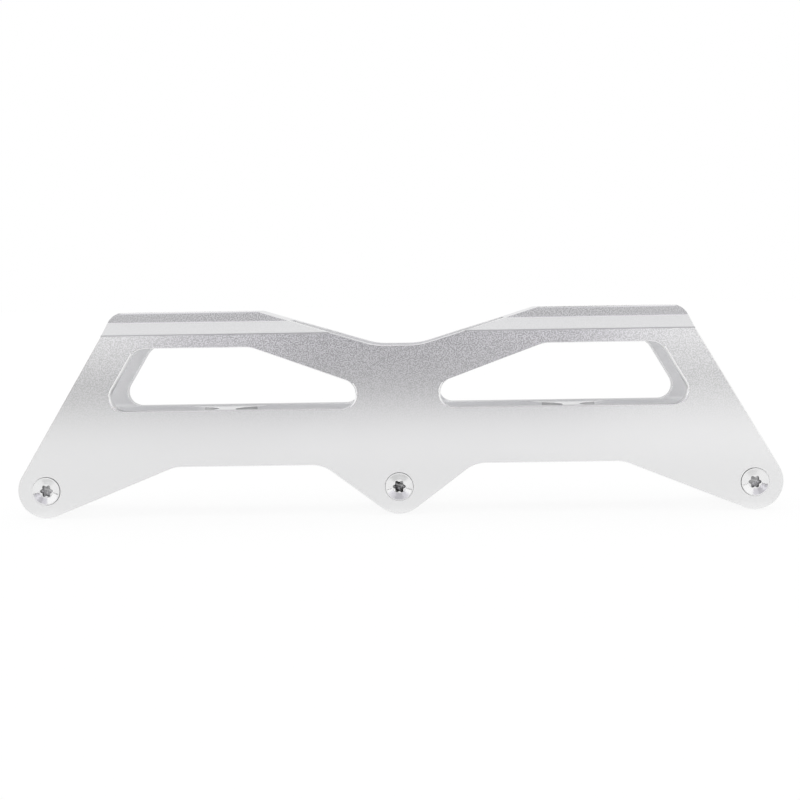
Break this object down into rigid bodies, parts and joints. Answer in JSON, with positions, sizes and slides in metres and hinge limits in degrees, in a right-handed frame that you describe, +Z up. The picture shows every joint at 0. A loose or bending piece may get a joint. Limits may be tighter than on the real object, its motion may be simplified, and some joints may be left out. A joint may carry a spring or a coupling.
{
  "type": "inline skate frame",
  "caption": "Milled aluminium channel frame that carries a row of inline skate wheels between two windowed side plates and bolts under a boot, with its screw-and-sleeve axles.",
  "frame": {"origin": "on the ground under the middle axle, on the frame's centre plane", "axes": "+X towards the front wheel, +Y towards the far side, where the sleeve heads are, +Z up to the boot"},
  "size_m": [0.2754, 0.037, 0.0738],
  "materials": {
    "blasted_aluminium": "bead-blasted and clear anodised",
    "plated_steel": "turned and bright nickel plated",
    "ground_steel": "ground, with a plated head",
    "lock_nylon": "moulded"
  },
  "bodies": {
    "frame": {"frame_body": "blasted_aluminium"},
    "front_sleeve": {"front_axle_sleeve": "ground_steel"},
    "middle_sleeve": {"middle_axle_sleeve": "ground_steel"},
    "rear_sleeve": {"rear_axle_sleeve": "ground_steel"},
    "front_lock": {"front_lock_ring": "lock_nylon"},
    "middle_lock": {"middle_lock_ring": "lock_nylon"},
    "rear_lock": {"rear_lock_ring": "lock_nylon"},
    "front_screw": {"front_axle_screw": "plated_steel"},
    "middle_screw": {"middle_axle_screw": "plated_steel"},
    "rear_screw": {"rear_axle_screw": "plated_steel"}
  },
  "joints": [
    {"name": "front_sleeve_draw", "type": "slide", "parent": "frame", "child": "front_sleeve", "axis": [0, 1, 0], "range_m": [0, 0.0275]},
    {"name": "middle_sleeve_draw", "type": "slide", "parent": "frame", "child": "middle_sleeve", "axis": [0, 1, 0], "range_m": [0, 0.0275]},
    {"name": "rear_sleeve_draw", "type": "slide", "parent": "frame", "child": "rear_sleeve", "axis": [0, 1, 0], "range_m": [0, 0.0275]},
    {"name": "front_screw_travel", "type": "slide", "parent": "frame", "child": "front_lock", "axis": [0, -1, 0], "range_m": [0, 0.012]},
    {"name": "middle_screw_travel", "type": "slide", "parent": "frame", "child": "middle_lock", "axis": [0, -1, 0], "range_m": [0, 0.012]},
    {"name": "rear_screw_travel", "type": "slide", "parent": "frame", "child": "rear_lock", "axis": [0, -1, 0], "range_m": [0, 0.012]},
    {"name": "front_screw_turn", "type": "hinge", "parent": "front_lock", "child": "front_screw", "pos_m": [0.1275, -0.00655, 0.01], "axis": [0, -1, 0], "range_deg": [0, 4320]},
    {"name": "middle_screw_turn", "type": "hinge", "parent": "middle_lock", "child": "middle_screw", "pos_m": [0, -0.00655, 0.01], "axis": [0, -1, 0], "range_deg": [0, 4320]},
    {"name": "rear_screw_turn", "type": "hinge", "parent": "rear_lock", "child": "rear_screw", "pos_m": [-0.1275, -0.00655, 0.01], "axis": [0, -1, 0], "range_deg": [0, 4320]}
  ],
  "couplings": [
    {"joint": "front_screw_turn", "follows": "front_screw_travel", "rad_per_m": 6283.2},
    {"joint": "middle_screw_turn", "follows": "middle_screw_travel", "rad_per_m": 6283.2},
    {"joint": "rear_screw_turn", "follows": "rear_screw_travel", "rad_per_m": 6283.2}
  ]
}
